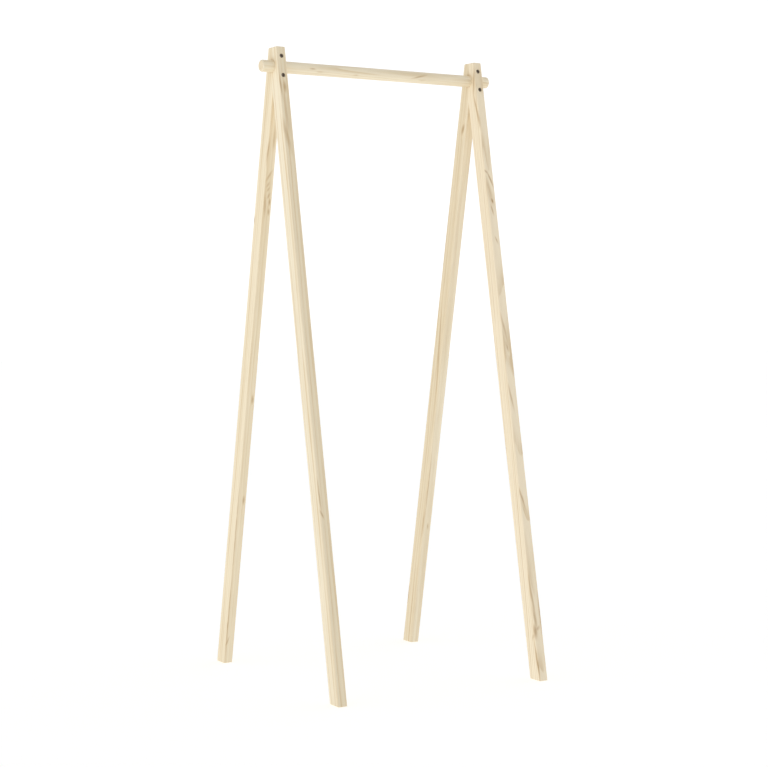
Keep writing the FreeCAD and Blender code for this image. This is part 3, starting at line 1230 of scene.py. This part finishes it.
RIGHT_FRONT_BOARD = PlanedPine(
    name="planed_pine_right_front",
    pith=(8.0, 100.0),
    run_out=(-2.2, 0.2),
    seed=19.0,
    late_share=0.5,
    drift=14.0,
    honey=0.1,
    early_colour="#FAECD0",
    late_colour="#CFB385",
    marks=(
        # Painted shade: a faint broad darkening of the upper left face, which gets less light than near its
        # foot.
        GrainMark(Face.LEFT, 0.0, 1300.0, 30.0, 380.0, stain_and_shade=0.04),
        GrainMark(Face.LEFT, -16.0, 1740.0, 4.0, 36.0, slant=10.0, stain_and_shade=0.5),
        GrainMark(Face.LEFT, -16.0, 1656.0, 4.0, 52.0, slant=-9.0, stain_and_shade=0.5),
        GrainMark(Face.NEAR, -10.0, 1470.0, 2.6, 11.0, slant=42.0, stain_and_shade=0.42),
        GrainMark(Face.NEAR, 2.0, 1447.0, 2.8, 24.0, slant=21.0, stain_and_shade=0.5),
        GrainMark(Face.NEAR, -4.0, 1398.0, 8.0, 36.0, slant=10.0, stain_and_shade=0.25, bow=3.0),
        GrainMark(Face.NEAR, 1.0, 1383.0, 2.8, 8.0, slant=10.0, stain_and_shade=0.75),
        GrainMark(Face.NEAR, -3.0, 1357.0, 2.8, 15.0, slant=13.0, stain_and_shade=0.48),
        GrainMark(Face.NEAR, 1.0, 1266.0, 2.4, 11.0, slant=20.0, stain_and_shade=0.4),
        GrainMark(Face.NEAR, -7.0, 1012.0, 3.2, 42.0, slant=10.0, stain_and_shade=0.33),
        GrainMark(Face.NEAR, -2.0, 950.0, 3.2, 14.0, slant=8.0, stain_and_shade=0.42, bow=3.0),
        GrainMark(Face.NEAR, -8.0, 808.0, 2.8, 34.0, slant=8.0, stain_and_shade=0.4),
        GrainMark(Face.NEAR, -8.0, 516.0, 2.8, 36.0, slant=14.0, stain_and_shade=0.45),
        GrainMark(Face.NEAR, -11.0, 240.0, 3.2, 85.0, slant=4.0, stain_and_shade=0.42),
        GrainMark(Face.NEAR, -8.0, 172.0, 4.0, 34.0, slant=4.0, stain_and_shade=0.42),
        GrainMark(Face.NEAR, -11.0, 136.0, 6.0, 19.0, stain_and_shade=0.48),
        GrainMark(Face.NEAR, -4.0, 142.0, 5.0, 11.0, slant=-55.0, stain_and_shade=0.36),
        GrainMark(Face.LEFT, -19.0, 124.0, 5.0, 12.0, slant=40.0, stain_and_shade=0.32),
        GrainMark(Face.NEAR, 11.0, 187.0, 2.6, 58.0, stain_and_shade=0.45),
        GrainMark(Face.LEFT, -21.5, 46.0, 3.0, 60.0, slant=-4.0, stain_and_shade=0.6),
        GrainMark(Face.FAR, 2.0, 720.0, 4.5, 8.0, stain_and_shade=0.65, bow=5.0),
        GrainMark(Face.RIGHT, 8.0, 1310.0, 3.0, 7.0, stain_and_shade=0.6, bow=4.0),
    ),
)

RIGHT_REAR_BOARD = PlanedPine(
    name="planed_pine_right_rear",
    pith=(-85.0, 30.0),
    run_out=(0.3, 0.1),
    seed=27.0,
    heartwood=93.0,
    heart_tone=0.5,
    ring_spacing=5.0,
    late_colour="#CFB385",
    marks=(
        # Painted shade: a faint broad darkening of the upper near face, where the front leg shades it.
        GrainMark(Face.NEAR, 0.0, 1450.0, 20.0, 450.0, stain_and_shade=0.07),
        GrainMark(Face.LEFT, -8.0, 1611.0, 6.0, 15.0, slant=12.0, stain_and_shade=0.55, bow=4.0),
        GrainMark(Face.LEFT, -5.0, 940.0, 4.0, 125.0, slant=-4.4, stain_and_shade=0.4),
        GrainMark(Face.LEFT, -20.0, 396.0, 2.4, 45.0, stain_and_shade=0.35),
        GrainMark(Face.LEFT, 20.0, 147.0, 3.4, 30.0, stain_and_shade=0.45),
        GrainMark(Face.NEAR, -12.0, 520.0, 2.0, 80.0, stain_and_shade=0.35),
        GrainMark(Face.NEAR, 2.0, 385.0, 2.4, 9.0, stain_and_shade=0.4),
        GrainMark(Face.FAR, 4.0, 1240.0, 3.5, 7.0, stain_and_shade=0.6, bow=4.0),
        GrainMark(Face.RIGHT, -9.0, 560.0, 3.5, 8.0, stain_and_shade=0.6, bow=4.0),
    ),
)

RAIL_BOARD = PlanedPine(
    name="turned_pine_rail",
    pith=(30.0, 50.0),
    run_out=(0.9, -0.8),
    seed=41.0,
    half_section=(16.5, 16.5),
    ring_spacing=6.0,
    marks=(
        GrainMark(Face.NEAR, 1.0, 155.0, 2.2, 9.0, stain_and_shade=0.4),
        GrainMark(Face.NEAR, 8.0, 180.0, 2.6, 11.0, stain_and_shade=0.4),
        GrainMark(Face.NEAR, 10.0, 295.0, 3.2, 10.0, stain_and_shade=0.4),
        GrainMark(Face.NEAR, 10.0, 516.0, 3.2, 13.0, stain_and_shade=0.4),
        GrainMark(Face.NEAR, -1.0, 508.0, 2.2, 28.0, slant=16.0, stain_and_shade=0.4),
        GrainMark(Face.FAR, 2.0, 610.0, 2.5, 7.0, stain_and_shade=0.5),
    ),
)

LEFT_FRAME = LeaningFrame(Side.LEFT, {End.FRONT: LEFT_FRONT_BOARD, End.REAR: LEFT_REAR_BOARD})
RIGHT_FRAME = LeaningFrame(Side.RIGHT, {End.FRONT: RIGHT_FRONT_BOARD, End.REAR: RIGHT_REAR_BOARD})
RAIL = HangingRail(RAIL_BOARD)


def main() -> None:
    """Builds the studio and the rack's sub-assemblies in order, and reports each piece."""
    logging.basicConfig(level=logging.INFO, format="%(name)s: %(message)s")
    Studio().build()
    for assembly in (LEFT_FRAME, RIGHT_FRAME, RAIL, SocketBolts(), ThreadedInserts()):
        for piece in assembly.build():
            LOG.info("%s %s: %d faces", type(assembly).__name__, piece.name, len(piece.data.polygons))


if __name__ == "__main__":
    main()
